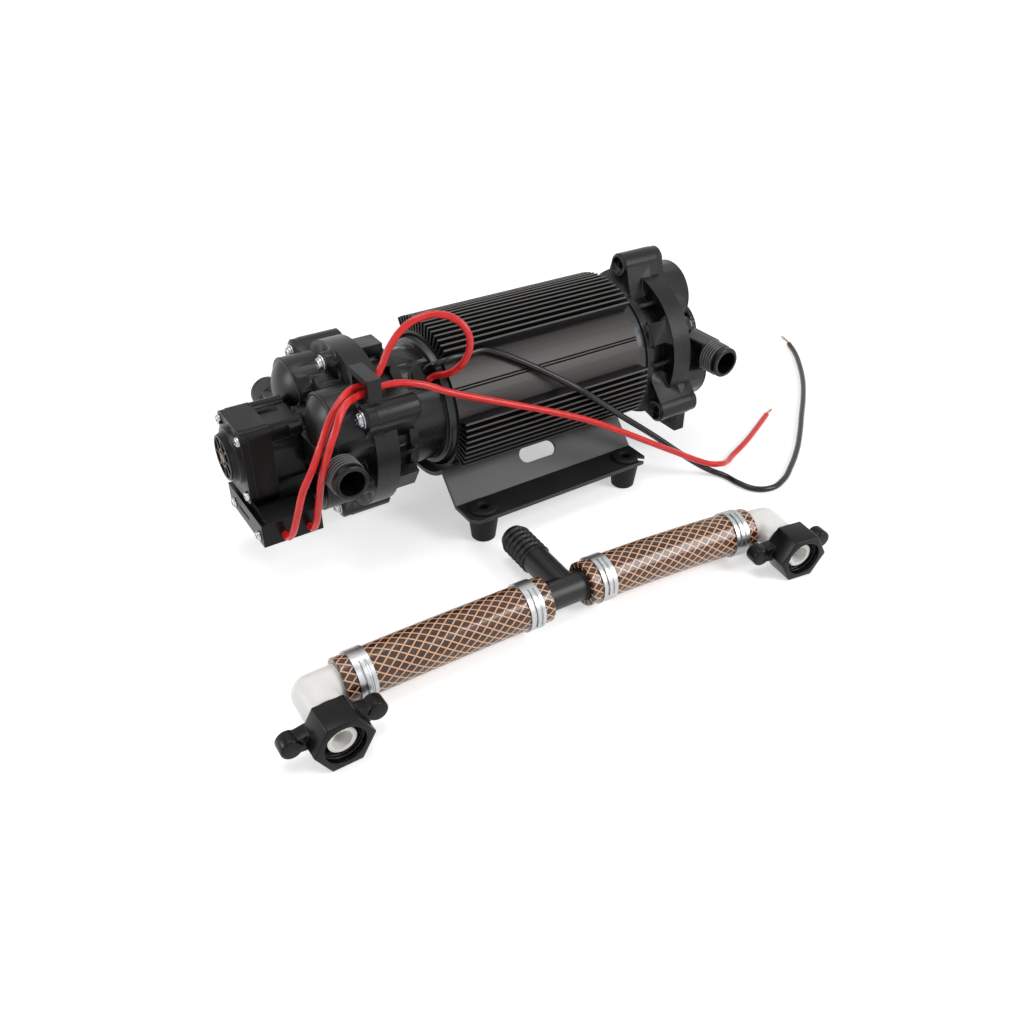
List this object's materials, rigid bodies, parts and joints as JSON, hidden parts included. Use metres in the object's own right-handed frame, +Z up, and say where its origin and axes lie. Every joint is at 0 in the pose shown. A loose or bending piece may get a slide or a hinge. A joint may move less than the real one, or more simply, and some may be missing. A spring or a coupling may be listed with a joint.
{
  "type": "diaphragm pump",
  "caption": "Diaphragm water pump with a head at each end of a finned motor, a pressure switch, a folded foot bracket, loose leads and a tee hose manifold with wing nuts.",
  "frame": {"origin": "on the floor, midway between the four foot holes", "axes": "+X along the motor axis from the switch end to the plain end, -Y towards the manifold and the near side of the picture, +Z up"},
  "size_m": [0.5485, 0.2623, 0.145],
  "materials": {
    "bracket_black": "satin black paint",
    "rubber_black": "matte",
    "steel_bright": "zinc plated",
    "sleeve_black": "black anodised",
    "can_steel": "semi-gloss black",
    "housing_black": "satin moulded, glass filled",
    "ferrite": "matte ferrite",
    "card_brown": "laminate",
    "carbon": "carbon",
    "core_steel": "stacked sheets",
    "copper": "enamelled copper",
    "cast_dark": "cast",
    "white_plastic": "smooth moulded",
    "valve_rubber": "smooth",
    "brass_screw": "yellow passivated",
    "switch_grey": "smooth moulded",
    "red_pvc": "glossy",
    "black_pvc": "glossy",
    "strand": "tinned copper strands",
    "hose_braid": "braided, glossy",
    "clamp_steel": "bright",
    "tee_black": "satin moulded",
    "nut_black": "satin moulded"
  },
  "bodies": {
    "pump": {"base_bracket": "bracket_black", "rubber_feet": "rubber_black", "bracket_screws": "steel_bright", "heat_sink_sleeve": "sleeve_black", "motor_can": "can_steel", "brush_housing": "housing_black", "drive_end_plate": "can_steel", "shaft_bearings": "steel_bright", "magnets": "ferrite", "brush_card": "card_brown", "brushes": "carbon", "brush_springs": "steel_bright", "wire_grommet": "rubber_black", "left_diaphragm": "valve_rubber", "right_diaphragm": "valve_rubber", "left_drive_housing": "housing_black", "right_drive_housing": "housing_black", "left_valve_housing": "housing_black", "right_valve_housing": "housing_black", "left_valve_plate": "white_plastic", "right_valve_plate": "white_plastic", "left_check_valves": "valve_rubber", "right_check_valves": "valve_rubber", "left_head_screws": "steel_bright", "right_head_screws": "steel_bright", "right_end_cap": "housing_black", "switch_body": "housing_black", "switch_cover": "housing_black", "switch_screws": "steel_bright", "switch_spring": "steel_bright", "microswitch": "switch_grey", "switch_box": "housing_black", "switch_box_plate": "housing_black", "red_link_wire": "red_pvc", "red_supply_wire": "red_pvc", "black_supply_wire": "black_pvc", "red_bare_end": "strand", "black_bare_end": "strand"},
    "rotor": {"motor_shaft": "steel_bright", "armature_core": "core_steel", "armature_windings": "copper", "commutator": "copper", "left_cam_hub": "cast_dark", "right_cam_hub": "cast_dark", "left_cam_bearing": "steel_bright", "right_cam_bearing": "steel_bright"},
    "left_wobble": {"left_wobble_plate": "cast_dark", "left_pistons": "white_plastic"},
    "right_wobble": {"right_wobble_plate": "cast_dark", "right_pistons": "white_plastic"},
    "adjuster": {"adjusting_screw": "brass_screw"},
    "plunger": {"switch_plunger": "white_plastic"},
    "manifold": {"tee_fitting": "tee_black", "left_hose": "hose_braid", "right_hose": "hose_braid", "hose_clamps": "clamp_steel", "left_elbow": "white_plastic", "right_elbow": "white_plastic"},
    "left_nut": {"left_wing_nut": "nut_black"},
    "right_nut": {"right_wing_nut": "nut_black"}
  },
  "joints": [
    {"name": "rotor_spin", "type": "hinge", "parent": "pump", "child": "rotor", "pos_m": [0, 0, 0.0703], "axis": [1, 0, 0], "continuous": true},
    {"name": "left_wobble_spin", "type": "hinge", "parent": "rotor", "child": "left_wobble", "pos_m": [-0.112, 0, 0.0703], "axis": [0.9981, 0.061, 0], "continuous": true},
    {"name": "right_wobble_spin", "type": "hinge", "parent": "rotor", "child": "right_wobble", "pos_m": [0.105, 0, 0.0703], "axis": [0.9981, -0.061, 0], "continuous": true},
    {"name": "adjuster_turn", "type": "hinge", "parent": "pump", "child": "adjuster", "pos_m": [-0.184, 0, 0.0703], "axis": [1, 0, 0], "range_deg": [-180, 180]},
    {"name": "plunger_slide", "type": "slide", "parent": "pump", "child": "plunger", "axis": [-1, 0, 0], "range_m": [0, 0.0008], "stiffness_N_per_m": 8000},
    {"name": "manifold_lift", "type": "slide", "parent": "pump", "child": "manifold", "axis": [0, 0, 1], "range_m": [0, 0.15]},
    {"name": "left_nut_spin", "type": "hinge", "parent": "manifold", "child": "left_nut", "pos_m": [-0.20155, -0.13786, 0.01369], "axis": [0, -1, 0], "continuous": true},
    {"name": "right_nut_spin", "type": "hinge", "parent": "manifold", "child": "right_nut", "pos_m": [0.0848, -0.15496, 0.01369], "axis": [-0.1564, -0.9877, 0], "continuous": true}
  ],
  "couplings": [
    {"joint": "left_wobble_spin", "follows": "rotor_spin", "ratio": -1},
    {"joint": "right_wobble_spin", "follows": "rotor_spin", "ratio": -1}
  ]
}
